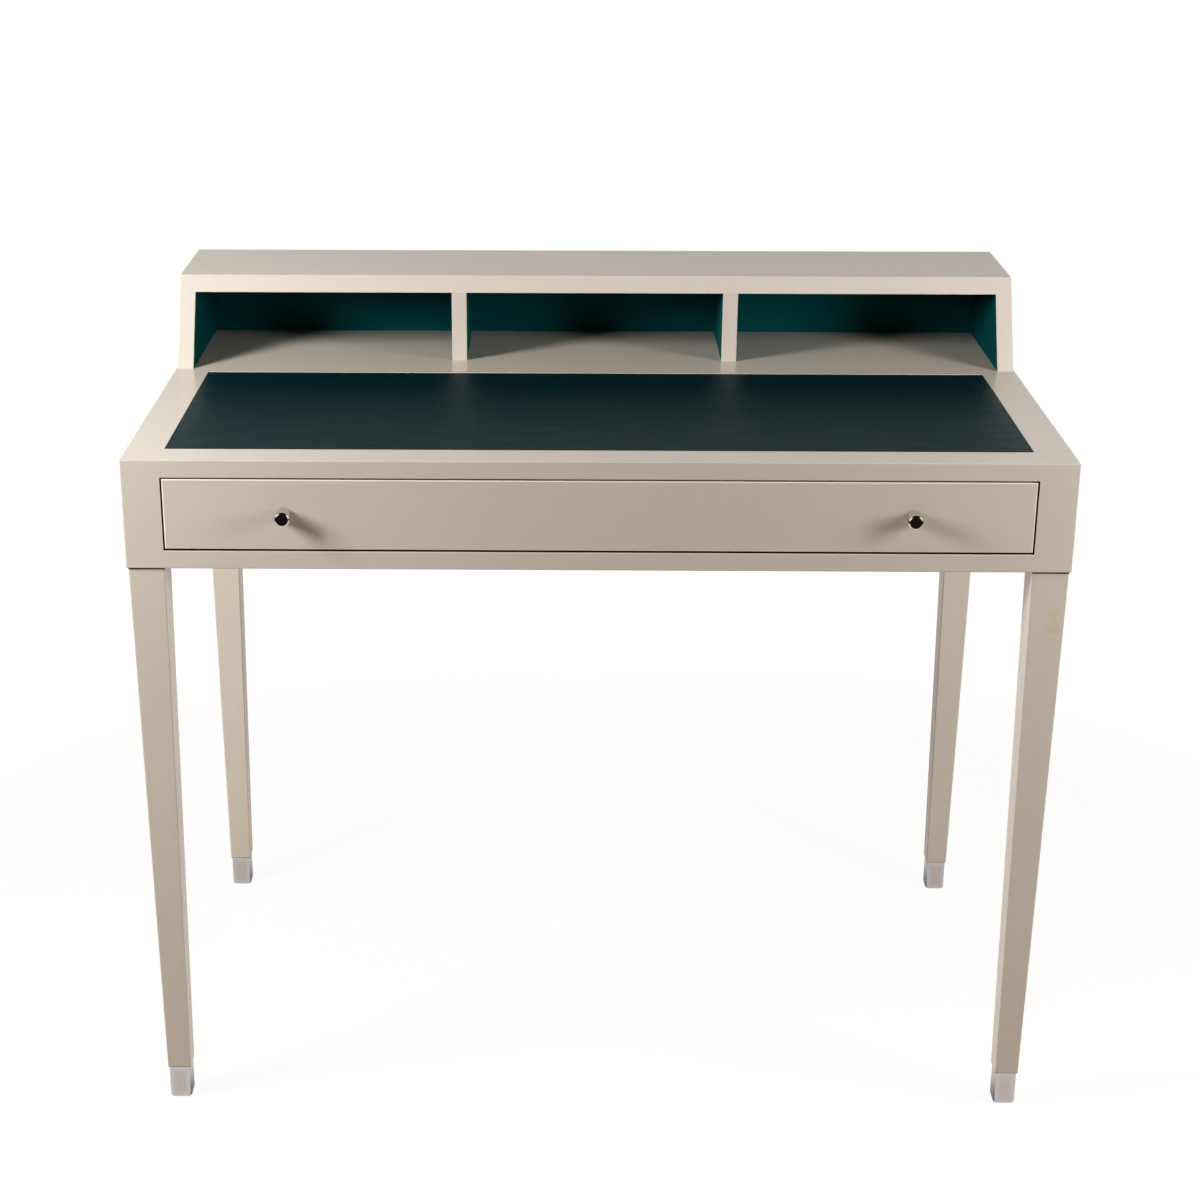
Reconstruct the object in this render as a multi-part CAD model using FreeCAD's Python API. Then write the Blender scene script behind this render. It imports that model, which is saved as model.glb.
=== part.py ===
"""A small writing desk: a lacquered case with one wide drawer on four tapered legs shod in metal,
an inset leather writing surface, and an open gallery of three pigeonholes with a raked front.

Millimetres. X runs along the desk, Y from the drawer front to the back, Z up from the floor.
The origin lies on the floor, under the middle of the whole desk with its knobs.
"""
import FreeCAD
import Part
import os

Vector = FreeCAD.Vector

# Case
WIDTH = 1000.0
DEPTH = 570.0
OPENING_HEIGHT = 81.0
TOP_THICKNESS = 19.0
BOTTOM_THICKNESS = 20.0
PANEL_THICKNESS = 19.0
POST_SIDE = 41.0
CASE_EDGE_RADIUS = 1.2

# Leather writing surface
LEATHER_MARGIN = 41.0
LEATHER_BACK_MARGIN = 13.0
LEATHER_THICKNESS = 1.6
LEATHER_SETBACK = 0.4
LEATHER_CLEARANCE = 0.3

# Gallery
PIGEONHOLE_HEIGHT = 83.0
GALLERY_FOOT_DEPTH = 200.0
GALLERY_TOP_DEPTH = 145.0
GALLERY_INSET = 2.0
GALLERY_BOARD = 19.0
DIVIDER_THICKNESS = 18.0
GALLERY_BACK_THICKNESS = 8.0
GALLERY_EDGE_RADIUS = 1.0

# Legs and ferrules
LEG_HEIGHT = 660.0
LEG_TOP_SIDE = 39.0
LEG_SHOULDER_SIDE = 26.4
LEG_INSET = 2.0
LEG_EDGE_RADIUS = 1.2
LEG_TOP_CHAMFER = 0.8
FERRULE_HEIGHT = 42.0
FERRULE_STEP = 0.8
FERRULE_WALL = 1.5
FERRULE_BASE = 3.0
FERRULE_INNER_RADIUS = 1.5
TENON_CLEARANCE = 0.1
TENON_END_CLEARANCE = 0.3

# Drawer
DRAWER_GAP = 2.0
DRAWER_FRONT_THICKNESS = 19.0
DRAWER_FRONT_EDGE_RADIUS = 1.0
DRAWER_BOARD = 12.0
DRAWER_ROOM_BELOW = 8.0
DRAWER_ROOM_ABOVE = 11.0
DRAWER_ROOM_BEHIND = 82.0
DRAWER_BOTTOM_THICKNESS = 6.0
DRAWER_BOTTOM_RISE = 6.0
GROOVE_DEPTH = 6.0
GROOVE_CLEARANCE = 0.1
KNOB_DIAMETER = 16.0
KNOB_PROJECTION = 18.0
KNOB_CHAMFER = 1.6
KNOB_END_DISTANCE = 127.0
STOP_WIDTH = 30.0
STOP_DEPTH = 18.0
STOP_LAP = 8.0
STOP_GAP = 0.3
STOP_END_DISTANCE = 80.0

# Telescopic runners
RUNNER_HEIGHT = 45.0
RUNNER_SHEET = 1.2
RUNNER_PLAY = 0.8
RUNNER_FRONT_SETBACK = 3.0
RUNNER_BACK_SETBACK = 7.0
BALL_DIAMETER = 3.2
BALL_PLAY = 0.05
BALLS_PER_STRIP = 5
BALL_PITCH = 20.0
RACE_MARGIN = 1.0
STRIP_THICKNESS = 1.2
STRIP_EDGE_CLEARANCE = 0.3
STRIP_END = 6.0
STRIP_SETBACK = 20.0

# Fasteners
FASTENER_FIT = 0.1
DOWEL_DIAMETER = 8.0
DOWEL_IN_TOP = 12.0
DOWEL_IN_WOOD = 18.0
DOWEL_SPACING = 50.0
GALLERY_DOWEL_DIAMETER = 6.0
GALLERY_DOWEL_IN_TOP = 10.0
GALLERY_DOWEL_IN_BOARD = 14.0
DRAWER_DOWEL_DIAMETER = 5.0
DRAWER_DOWEL_IN_SIDE = 8.0
DRAWER_DOWEL_IN_END = 16.0
DRAWER_DOWEL_MARGIN = 8.0
STUD_DIAMETER = 8.0
STUD_IN_LEG = 40.0
INSERT_DIAMETER = 12.0
INSERT_LENGTH = 20.0
CASE_SCREW_DIAMETER = 5.0
CASE_SCREW_HEAD = 9.5
CASE_SCREW_BITE = 30.0
CASE_SCREW_MARGIN = 60.0
BATTEN_SCREW_DIAMETER = 4.0
BATTEN_SCREW_HEAD = 7.6
BATTEN_SCREW_BITE = 12.0
BATTEN_SCREW_RISE = 8.0
BATTEN_SCREW_MARGIN = 110.0
GALLERY_SCREW_DIAMETER = 4.5
GALLERY_SCREW_HEAD = 8.5
GALLERY_SCREW_BITE = 26.0
GALLERY_SCREW_FRONT_MARGIN = 45.0
GALLERY_SCREW_BACK_MARGIN = 55.0
DIVIDER_FIXING_MARGIN = 35.0
FRONT_SCREW_DIAMETER = 4.0
FRONT_SCREW_HEAD = 7.6
FRONT_SCREW_BITE = 12.0
FRONT_SCREW_DROP = 10.0
FRONT_SCREW_END_DISTANCE = 40.0
FRONT_SCREW_CENTRE_DISTANCE = 120.0
KNOB_SCREW_DIAMETER = 4.0
KNOB_SCREW_HEAD = 8.0
KNOB_SCREW_HEAD_HEIGHT = 2.5
KNOB_SCREW_BITE = 9.0
RUNNER_SCREW_DIAMETER = 3.5
RUNNER_SCREW_HEAD = 6.5
RUNNER_SCREW_HEAD_HEIGHT = 1.8
RUNNER_SCREW_LENGTH = 10.0
RUNNER_SCREW_MARGIN = 30.0

# Faces and levels of the case
HALF_WIDTH = WIDTH / 2
Y_BACK = (DEPTH + KNOB_PROJECTION) / 2
Y_FRONT = Y_BACK - DEPTH
OPENING_FLOOR = LEG_HEIGHT + BOTTOM_THICKNESS
OPENING_CEILING = OPENING_FLOOR + OPENING_HEIGHT
OPENING_MIDDLE = OPENING_FLOOR + OPENING_HEIGHT / 2
OPENING_HALF = HALF_WIDTH - POST_SIDE
DESK_HEIGHT = OPENING_CEILING + TOP_THICKNESS
PANEL_INNER_X = HALF_WIDTH - PANEL_THICKNESS
PANEL_MIDDLE_X = HALF_WIDTH - PANEL_THICKNESS / 2
BACK_PANEL_Y = Y_BACK - PANEL_THICKNESS
BACK_PANEL_MIDDLE_Y = Y_BACK - PANEL_THICKNESS / 2
BETWEEN_POSTS = (Y_FRONT + POST_SIDE, Y_BACK - POST_SIDE)
LEATHER_Z = DESK_HEIGHT - LEATHER_SETBACK - LEATHER_THICKNESS

# Faces and levels of the gallery
GALLERY_CEILING = DESK_HEIGHT + PIGEONHOLE_HEIGHT
TOTAL_HEIGHT = GALLERY_CEILING + GALLERY_BOARD
GALLERY_FOOT_Y = Y_BACK - GALLERY_FOOT_DEPTH
GALLERY_LIP_Y = Y_BACK - GALLERY_TOP_DEPTH
RAKE = (GALLERY_LIP_Y - GALLERY_FOOT_Y) / (TOTAL_HEIGHT - DESK_HEIGHT)
GALLERY_CEILING_Y = GALLERY_FOOT_Y + RAKE * PIGEONHOLE_HEIGHT
GALLERY_BACK_Y = Y_BACK - GALLERY_BACK_THICKNESS
GALLERY_HALF = HALF_WIDTH - GALLERY_INSET
GALLERY_INNER_HALF = GALLERY_HALF - GALLERY_BOARD
GALLERY_SIDE_X = GALLERY_HALF - GALLERY_BOARD / 2
PIGEONHOLE_WIDTH = (2 * GALLERY_INNER_HALF - 2 * DIVIDER_THICKNESS) / 3
DIVIDER_X = (PIGEONHOLE_WIDTH + DIVIDER_THICKNESS) / 2
DIVIDER_FIXING_Y = (GALLERY_CEILING_Y + DIVIDER_FIXING_MARGIN, GALLERY_BACK_Y - DIVIDER_FIXING_MARGIN)

# Legs and ferrules
LEG_OFFSET = LEG_INSET + LEG_TOP_SIDE / 2
FERRULE_SIDE = LEG_SHOULDER_SIDE - 2 * FERRULE_STEP
FERRULE_RADIUS = FERRULE_INNER_RADIUS + FERRULE_WALL
POCKET_SIDE = FERRULE_SIDE - 2 * FERRULE_WALL
TENON_SIDE = POCKET_SIDE - 2 * TENON_CLEARANCE

# Runner channels, measured from the side of the opening towards the drawer
RACE_WIDTH = BALL_DIAMETER + 2 * RACE_MARGIN
BALL_ROOM = BALL_DIAMETER + 2 * BALL_PLAY
MIDDLE_WEB = RUNNER_SHEET + RUNNER_SCREW_HEAD_HEIGHT + RUNNER_PLAY
OUTER_LIP = MIDDLE_WEB + RACE_WIDTH
INNER_LIP = MIDDLE_WEB + RUNNER_SHEET + RUNNER_PLAY
MIDDLE_LIP = INNER_LIP + RACE_WIDTH
INNER_WEB = MIDDLE_LIP + RUNNER_PLAY
RUNNER_SPACE = INNER_WEB + RUNNER_SHEET
MIDDLE_HALF_HEIGHT = RUNNER_HEIGHT / 2 - RUNNER_SHEET - BALL_ROOM
INNER_HALF_HEIGHT = MIDDLE_HALF_HEIGHT - RUNNER_SHEET - BALL_ROOM
STRIP_LENGTH = (BALLS_PER_STRIP - 1) * BALL_PITCH + 2 * STRIP_END

# Faces and levels of the drawer
FRONT_HALF = OPENING_HALF - DRAWER_GAP
DRAWER_HALF = OPENING_HALF - RUNNER_SPACE
DRAWER_INNER_HALF = DRAWER_HALF - DRAWER_BOARD
DRAWER_BOX_Y = Y_FRONT + DRAWER_FRONT_THICKNESS
DRAWER_INNER_Y = DRAWER_BOX_Y + DRAWER_BOARD
DRAWER_END_Y = BACK_PANEL_Y - DRAWER_ROOM_BEHIND
DRAWER_BOX_Z = OPENING_FLOOR + DRAWER_ROOM_BELOW
DRAWER_BOX_TOP = OPENING_CEILING - DRAWER_ROOM_ABOVE
DRAWER_MIDDLE = (DRAWER_BOX_Z + DRAWER_BOX_TOP) / 2
DRAWER_BOTTOM_Z = DRAWER_BOX_Z + DRAWER_BOTTOM_RISE
DRAWER_FLOOR = DRAWER_BOTTOM_Z + DRAWER_BOTTOM_THICKNESS
KNOB_X = FRONT_HALF - KNOB_END_DISTANCE
RUNNER_Y = (DRAWER_BOX_Y + RUNNER_FRONT_SETBACK, DRAWER_END_Y - RUNNER_BACK_SETBACK)
RUNNER_TOP = DRAWER_MIDDLE + RUNNER_HEIGHT / 2

SIDES = {"left": -1, "right": 1}
ENDS = {"front": Y_FRONT + LEG_OFFSET, "back": Y_BACK - LEG_OFFSET}
SAME_PLACE = 1e-6
UP = Vector(0, 0, 1)
FORWARD = Vector(0, -1, 0)
BACKWARD = Vector(0, 1, 0)
RIGHT = Vector(1, 0, 0)


def same(a, b):
    return abs(a - b) < SAME_PLACE


def block(x, y, z):
    """Block between the low and high ends given along each axis."""
    lengths = [high - low for low, high in (x, y, z)]
    return Part.makeBox(*lengths, Vector(x[0], y[0], z[0]))


def column(x, y, side, z):
    """Square upright block about a point of the plan."""
    half = side / 2
    return block((x - half, x + half), (y - half, y + half), z)


def mirrored(side, near, far):
    """Range along X between two distances from the middle of the desk, on one side of it."""
    return tuple(sorted((side * near, side * far)))


def slab(outline, x):
    """Board between two places along X with an outline of (y, z) corners."""
    corners = [Vector(x[0], y, z) for y, z in outline]
    face = Part.Face(Part.makePolygon(corners + corners[:1]))
    return face.extrude(Vector(x[1] - x[0], 0, 0))


def frustum(x, y, low, high):
    """Square taper about a point of the plan, between two levels given as height and side."""
    (bottom, bottom_side), (top, top_side) = low, high
    near, far = bottom_side / 2, top_side / 2
    taper = Part.makeWedge(-near, bottom, -near, -far, -far, near, top, near, far, far)
    taper.rotate(Vector(0, 0, 0), RIGHT, 90)
    taper.translate(Vector(x, y, 0))
    return taper


def edges_where(piece, chosen):
    """Edges whose middle point passes the test."""
    return [edge for edge in piece.Edges if chosen(edge.CenterOfMass)]


def round_edges(piece, radius, chosen):
    return piece.makeFillet(radius, edges_where(piece, chosen))


def pin(start, direction, diameter, length, fit=0.0):
    """Plain round pin, or the hole for it where a fit is given."""
    return Part.makeCylinder(diameter / 2 + fit, length + 2 * fit, start - direction * fit, direction)


def countersunk(seat, direction, diameter, head, length, fit=0.0):
    """Countersunk screw with its flat head at the seat, or its hole where a fit is given."""
    shank = Part.makeCylinder(diameter / 2 + fit, length + fit, seat, direction)
    cone = Part.makeCone(head / 2 + fit, diameter / 2 + fit, (head - diameter) / 2, seat, direction)
    return shank.fuse(cone).removeSplitter()


def pan_head(seat, direction, diameter, head, head_height, length, fit=0.0):
    """Screw whose round head stands on the seat, or the hole for its shank where a fit is given."""
    shank = Part.makeCylinder(diameter / 2 + fit, length + fit, seat, direction)
    if fit:
        return shank
    top = seat - direction * head_height
    return shank.fuse(Part.makeCylinder(head / 2, head_height, top, direction)).removeSplitter()


def carve(piece, tools):
    """The piece without the tools' room: one solid, or a group that stays a group."""
    solids = piece.cut(tools).Solids
    return solids[0] if len(solids) == 1 else Part.makeCompound(solids)


def fasten(parts, node, make, places, through):
    """Adds a group of like fasteners and cuts their holes in the pieces that they go through."""
    holes = [make(*place, fit=FASTENER_FIT) for place in places]
    for name in through:
        parts[name] = carve(parts[name], holes)
    parts[node] = Part.makeCompound([make(*place) for place in places])


def spread(low, high, count):
    """Evenly spaced places from low to high, both included."""
    return [low + (high - low) * step / (count - 1) for step in range(count)]


def corners():
    """Name, plan position, side and end of each corner of the desk."""
    for end, y in ENDS.items():
        for name, side in SIDES.items():
            yield f"{end}_{name}", side * (HALF_WIDTH - LEG_OFFSET), y, side, end


def add_case(parts):
    """Top, bottom, corner posts, panels, runner battens and drawer stops."""
    full_x = (-HALF_WIDTH, HALF_WIDTH)
    full_y = (Y_FRONT, Y_BACK)
    opening_z = (OPENING_FLOOR, OPENING_CEILING)

    bottom = block(full_x, full_y, (LEG_HEIGHT, OPENING_FLOOR))
    parts["case_bottom"] = round_edges(bottom, CASE_EDGE_RADIUS, lambda c: c.z < OPENING_FLOOR - SAME_PLACE)

    top = block(full_x, full_y, (OPENING_CEILING, DESK_HEIGHT))
    top = round_edges(top, CASE_EDGE_RADIUS, lambda c: c.z > OPENING_CEILING + SAME_PLACE)
    leather_half = HALF_WIDTH - LEATHER_MARGIN
    leather_y = (Y_FRONT + LEATHER_MARGIN, GALLERY_FOOT_Y - LEATHER_BACK_MARGIN)
    recess_half = leather_half + LEATHER_CLEARANCE
    recess_y = (leather_y[0] - LEATHER_CLEARANCE, leather_y[1] + LEATHER_CLEARANCE)
    parts["desk_top"] = top.cut(block((-recess_half, recess_half), recess_y, (LEATHER_Z, DESK_HEIGHT)))
    leather_z = (LEATHER_Z, LEATHER_Z + LEATHER_THICKNESS)
    parts["writing_leather"] = block((-leather_half, leather_half), leather_y, leather_z)

    post_y = {"front": (Y_FRONT, BETWEEN_POSTS[0]), "back": (BETWEEN_POSTS[1], Y_BACK)}
    outer_y = {"front": Y_FRONT, "back": Y_BACK}
    for corner, x, y, side, end in corners():
        post = block(mirrored(side, OPENING_HALF, HALF_WIDTH), post_y[end], opening_z)
        parts[f"corner_post_{corner}"] = round_edges(
            post, CASE_EDGE_RADIUS, lambda c: same(c.x, side * HALF_WIDTH) and same(c.y, outer_y[end]))

    for name, side in SIDES.items():
        panel_x = mirrored(side, PANEL_INNER_X, HALF_WIDTH)
        parts[f"case_side_{name}"] = block(panel_x, BETWEEN_POSTS, opening_z)
        batten_x = mirrored(side, OPENING_HALF, PANEL_INNER_X)
        parts[f"runner_batten_{name}"] = block(batten_x, BETWEEN_POSTS, (OPENING_FLOOR, RUNNER_TOP))
    parts["case_back"] = block((-OPENING_HALF, OPENING_HALF), (BACK_PANEL_Y, Y_BACK), opening_z)

    stop_far = DRAWER_HALF - STOP_END_DISTANCE
    stop_y = (DRAWER_END_Y + STOP_GAP, DRAWER_END_Y + STOP_GAP + STOP_DEPTH)
    stop_z = (OPENING_FLOOR, DRAWER_BOX_Z + STOP_LAP)
    parts["drawer_stops"] = Part.makeCompound(
        [block(mirrored(side, stop_far - STOP_WIDTH, stop_far), stop_y, stop_z) for side in SIDES.values()])


def join_case(parts):
    """Dowels between the posts, panels and top, and screws through the bottom and the battens."""
    heights = (OPENING_MIDDLE - DOWEL_SPACING / 2, OPENING_MIDDLE + DOWEL_SPACING / 2)
    dowels = []
    for corner, x, y, side, end in corners():
        start = Vector(x, y, OPENING_CEILING - DOWEL_IN_WOOD)
        dowels.append((start, UP, DOWEL_DIAMETER, DOWEL_IN_WOOD + DOWEL_IN_TOP))
    for side in SIDES.values():
        for z in heights:
            for joint in BETWEEN_POSTS:
                start = Vector(side * PANEL_MIDDLE_X, joint - DOWEL_IN_WOOD, z)
                dowels.append((start, BACKWARD, DOWEL_DIAMETER, 2 * DOWEL_IN_WOOD))
            start = Vector(side * OPENING_HALF - DOWEL_IN_WOOD, BACK_PANEL_MIDDLE_Y, z)
            dowels.append((start, RIGHT, DOWEL_DIAMETER, 2 * DOWEL_IN_WOOD))
    posts = [name for name in parts if name.startswith("corner_post")]
    panels = ["case_side_left", "case_side_right", "case_back"]
    fasten(parts, "case_dowels", pin, dowels, posts + panels + ["desk_top"])

    along_y = spread(BETWEEN_POSTS[0] + CASE_SCREW_MARGIN, BETWEEN_POSTS[1] - CASE_SCREW_MARGIN, 3)
    along_x = spread(CASE_SCREW_MARGIN - OPENING_HALF, OPENING_HALF - CASE_SCREW_MARGIN, 4)
    places = [(side * PANEL_MIDDLE_X, y) for side in SIDES.values() for y in along_y]
    places += [(x, BACK_PANEL_MIDDLE_Y) for x in along_x]
    length = BOTTOM_THICKNESS + CASE_SCREW_BITE
    screws = [(Vector(x, y, LEG_HEIGHT), UP, CASE_SCREW_DIAMETER, CASE_SCREW_HEAD, length) for x, y in places]
    fasten(parts, "case_screws", countersunk, screws, panels + ["case_bottom"])

    length = PANEL_INNER_X - OPENING_HALF + BATTEN_SCREW_BITE
    z = OPENING_FLOOR + BATTEN_SCREW_RISE
    screws = []
    for side in SIDES.values():
        for y in (BETWEEN_POSTS[0] + BATTEN_SCREW_MARGIN, BETWEEN_POSTS[1] - BATTEN_SCREW_MARGIN):
            seat = Vector(side * OPENING_HALF, y, z)
            screws.append((seat, RIGHT * side, BATTEN_SCREW_DIAMETER, BATTEN_SCREW_HEAD, length))
    battens = ["runner_batten_left", "runner_batten_right"]
    fasten(parts, "batten_screws", countersunk, screws, battens + panels)


def tapered_leg(x, y):
    """Square leg with a straight taper, eased edges and a tenon for its ferrule."""
    leg = frustum(x, y, (FERRULE_HEIGHT, LEG_SHOULDER_SIDE), (LEG_HEIGHT, LEG_TOP_SIDE))
    middle = (FERRULE_HEIGHT + LEG_HEIGHT) / 2
    leg = round_edges(leg, LEG_EDGE_RADIUS, lambda c: abs(c.z - middle) < LEG_TOP_SIDE)
    leg = leg.makeChamfer(LEG_TOP_CHAMFER, edges_where(leg, lambda c: same(c.z, LEG_HEIGHT)))
    tenon = column(x, y, TENON_SIDE, (FERRULE_BASE + TENON_END_CLEARANCE, FERRULE_HEIGHT))
    tenon = round_edges(tenon, FERRULE_INNER_RADIUS, lambda c: not_level(c, tenon))
    return leg.fuse(tenon).removeSplitter()


def not_level(point, piece):
    """Whether a point lies strictly between the bottom and the top of a piece."""
    return piece.BoundBox.ZMin + SAME_PLACE < point.z < piece.BoundBox.ZMax - SAME_PLACE


def ferrule(x, y):
    """Metal shoe with rounded corners and a pocket for the leg's tenon."""
    shoe = column(x, y, FERRULE_SIDE, (0.0, FERRULE_HEIGHT))
    shoe = round_edges(shoe, FERRULE_RADIUS, lambda c: c.z < FERRULE_HEIGHT - SAME_PLACE)
    pocket = column(x, y, POCKET_SIDE, (FERRULE_BASE, FERRULE_HEIGHT))
    pocket = round_edges(pocket, FERRULE_INNER_RADIUS, lambda c: not_level(c, pocket))
    return shoe.cut(pocket)


def add_legs(parts):
    """Legs with their ferrules, and the threaded studs and inserts that hold them to the case."""
    studs = []
    inserts = []
    for corner, x, y, side, end in corners():
        parts[f"leg_{corner}"] = tapered_leg(x, y)
        parts[f"ferrule_{corner}"] = ferrule(x, y)
        stud_length = STUD_IN_LEG + BOTTOM_THICKNESS + INSERT_LENGTH
        studs.append((Vector(x, y, LEG_HEIGHT - STUD_IN_LEG), UP, STUD_DIAMETER, stud_length))
        inserts.append((Vector(x, y, OPENING_FLOOR), UP, INSERT_DIAMETER, INSERT_LENGTH))
    posts = [name for name in parts if name.startswith("corner_post")]
    legs = [name for name in parts if name.startswith("leg_")]
    fasten(parts, "leg_inserts", pin, inserts, posts)
    fasten(parts, "leg_studs", pin, studs, legs + ["case_bottom", "leg_inserts"])


def add_gallery(parts):
    """Raked open gallery: sides, top, dividers and back, with their dowels and screws."""
    side_outline = [
        (Y_BACK, DESK_HEIGHT),
        (GALLERY_FOOT_Y, DESK_HEIGHT),
        (GALLERY_CEILING_Y, GALLERY_CEILING),
        (Y_BACK, GALLERY_CEILING),
    ]
    for name, side in SIDES.items():
        board = slab(side_outline, mirrored(side, GALLERY_INNER_HALF, GALLERY_HALF))
        parts[f"gallery_side_{name}"] = round_edges(
            board, GALLERY_EDGE_RADIUS, lambda c: not_level(c, board) and c.y < GALLERY_BACK_Y)

    top_outline = [
        (Y_BACK, GALLERY_CEILING),
        (GALLERY_CEILING_Y, GALLERY_CEILING),
        (GALLERY_LIP_Y, TOTAL_HEIGHT),
        (Y_BACK, TOTAL_HEIGHT),
    ]
    top = slab(top_outline, (-GALLERY_HALF, GALLERY_HALF))
    top = round_edges(top, GALLERY_EDGE_RADIUS, lambda c: c.z > GALLERY_CEILING + SAME_PLACE)
    parts["gallery_top"] = top

    inner_z = (DESK_HEIGHT, GALLERY_CEILING)
    inner_x = (-GALLERY_INNER_HALF, GALLERY_INNER_HALF)
    parts["gallery_back"] = block(inner_x, (GALLERY_BACK_Y, Y_BACK), inner_z)
    for name, side in SIDES.items():
        near, far = DIVIDER_X - DIVIDER_THICKNESS / 2, DIVIDER_X + DIVIDER_THICKNESS / 2
        board = block(mirrored(side, near, far), (GALLERY_CEILING_Y, GALLERY_BACK_Y), inner_z)
        parts[f"divider_{name}"] = round_edges(
            board, GALLERY_EDGE_RADIUS, lambda c: not_level(c, board) and same(c.y, GALLERY_CEILING_Y))

    uprights = ["gallery_side_left", "gallery_side_right", "divider_left", "divider_right"]
    side_y = (GALLERY_FOOT_Y + GALLERY_SCREW_FRONT_MARGIN, Y_BACK - GALLERY_SCREW_BACK_MARGIN)
    places = [(side * GALLERY_SIDE_X, y) for side in SIDES.values() for y in side_y]
    places += [(side * DIVIDER_X, y) for side in SIDES.values() for y in DIVIDER_FIXING_Y]
    form = (UP, GALLERY_SCREW_DIAMETER, GALLERY_SCREW_HEAD, TOP_THICKNESS + GALLERY_SCREW_BITE)
    screws = [(Vector(x, y, OPENING_CEILING), *form) for x, y in places]
    fasten(parts, "gallery_screws", countersunk, screws, uprights + ["desk_top"])

    rows = [side * x for side in SIDES.values() for x in (GALLERY_SIDE_X, DIVIDER_X)]
    form = (UP, GALLERY_DOWEL_DIAMETER, GALLERY_DOWEL_IN_BOARD + GALLERY_DOWEL_IN_TOP)
    start_z = GALLERY_CEILING - GALLERY_DOWEL_IN_BOARD
    dowels = [(Vector(x, y, start_z), *form) for x in rows for y in DIVIDER_FIXING_Y]
    fasten(parts, "gallery_dowels", pin, dowels, uprights + ["gallery_top"])


def add_drawer(parts):
    """Drawer front on a grooved and dowelled box, with two knobs."""
    front_z = (OPENING_FLOOR + DRAWER_GAP, OPENING_CEILING - DRAWER_GAP)
    front = block((-FRONT_HALF, FRONT_HALF), (Y_FRONT, DRAWER_BOX_Y), front_z)
    parts["drawer_front"] = round_edges(front, DRAWER_FRONT_EDGE_RADIUS, lambda c: same(c.y, Y_FRONT))

    box_z = (DRAWER_BOX_Z, DRAWER_BOX_TOP)
    inner_x = (-DRAWER_INNER_HALF, DRAWER_INNER_HALF)
    boards = ["drawer_box_front", "drawer_box_back", "drawer_side_left", "drawer_side_right"]
    parts["drawer_box_front"] = block(inner_x, (DRAWER_BOX_Y, DRAWER_INNER_Y), box_z)
    parts["drawer_box_back"] = block(inner_x, (DRAWER_END_Y - DRAWER_BOARD, DRAWER_END_Y), box_z)
    for name, side in SIDES.items():
        side_x = mirrored(side, DRAWER_INNER_HALF, DRAWER_HALF)
        parts[f"drawer_side_{name}"] = block(side_x, (DRAWER_BOX_Y, DRAWER_END_Y), box_z)

    def floor(reach, lift):
        half = DRAWER_INNER_HALF + reach
        y = (DRAWER_INNER_Y - reach, DRAWER_END_Y - DRAWER_BOARD + reach)
        return block((-half, half), y, (DRAWER_BOTTOM_Z - lift, DRAWER_FLOOR + lift))

    parts["drawer_bottom"] = floor(GROOVE_DEPTH - GROOVE_CLEARANCE, 0.0)
    for name in boards:
        parts[name] = carve(parts[name], [floor(GROOVE_DEPTH, GROOVE_CLEARANCE)])

    heights = (DRAWER_FLOOR + DRAWER_DOWEL_MARGIN, DRAWER_BOX_TOP - DRAWER_DOWEL_MARGIN)
    middles = (DRAWER_BOX_Y + DRAWER_BOARD / 2, DRAWER_END_Y - DRAWER_BOARD / 2)
    length = DRAWER_DOWEL_IN_END + DRAWER_DOWEL_IN_SIDE
    dowels = []
    for side in SIDES.values():
        x = side * (DRAWER_INNER_HALF - DRAWER_DOWEL_IN_END)
        dowels += [
            (Vector(x, y, z), RIGHT * side, DRAWER_DOWEL_DIAMETER, length) for y in middles for z in heights
        ]
    fasten(parts, "drawer_dowels", pin, dowels, boards)

    screw_x = (DRAWER_INNER_HALF - FRONT_SCREW_END_DISTANCE, FRONT_SCREW_CENTRE_DISTANCE)
    screw_z = DRAWER_BOX_TOP - FRONT_SCREW_DROP
    form = (FORWARD, FRONT_SCREW_DIAMETER, FRONT_SCREW_HEAD, DRAWER_BOARD + FRONT_SCREW_BITE)
    screws = [
        (Vector(side * x, DRAWER_INNER_Y, screw_z), *form) for side in SIDES.values() for x in screw_x
    ]
    fasten(parts, "drawer_front_screws", countersunk, screws, ["drawer_box_front", "drawer_front"])

    tip = Y_FRONT - KNOB_PROJECTION
    form = (FORWARD, KNOB_SCREW_DIAMETER, KNOB_SCREW_HEAD, KNOB_SCREW_HEAD_HEIGHT,
            DRAWER_BOARD + DRAWER_FRONT_THICKNESS + KNOB_SCREW_BITE)
    screws = []
    for name, side in SIDES.items():
        seat = Vector(side * KNOB_X, Y_FRONT, OPENING_MIDDLE)
        knob = Part.makeCylinder(KNOB_DIAMETER / 2, KNOB_PROJECTION, seat, FORWARD)
        knob = knob.makeChamfer(KNOB_CHAMFER, edges_where(knob, lambda c: same(c.y, tip)))
        parts[f"knob_{name}"] = knob
        screws.append((Vector(side * KNOB_X, DRAWER_INNER_Y, OPENING_MIDDLE), *form))
    fronts = ["drawer_box_front", "drawer_front", "knob_left", "knob_right"]
    fasten(parts, "knob_screws", pan_head, screws, fronts)


def runner_x(side, near, far):
    """Range along X of a runner's part, from its distances from the side of the opening."""
    return mirrored(side, OPENING_HALF - far, OPENING_HALF - near)


def channel(side, web, flange, half_height):
    """Steel runner channel: an upright web with a flange along its top and bottom."""
    low, high = DRAWER_MIDDLE - half_height, DRAWER_MIDDLE + half_height
    pieces = [block(runner_x(side, web, web + RUNNER_SHEET), RUNNER_Y, (low, high))]
    for z in ((low, low + RUNNER_SHEET), (high - RUNNER_SHEET, high)):
        pieces.append(block(runner_x(side, *flange), RUNNER_Y, z))
    return pieces[0].fuse(pieces[1:]).removeSplitter()


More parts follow.
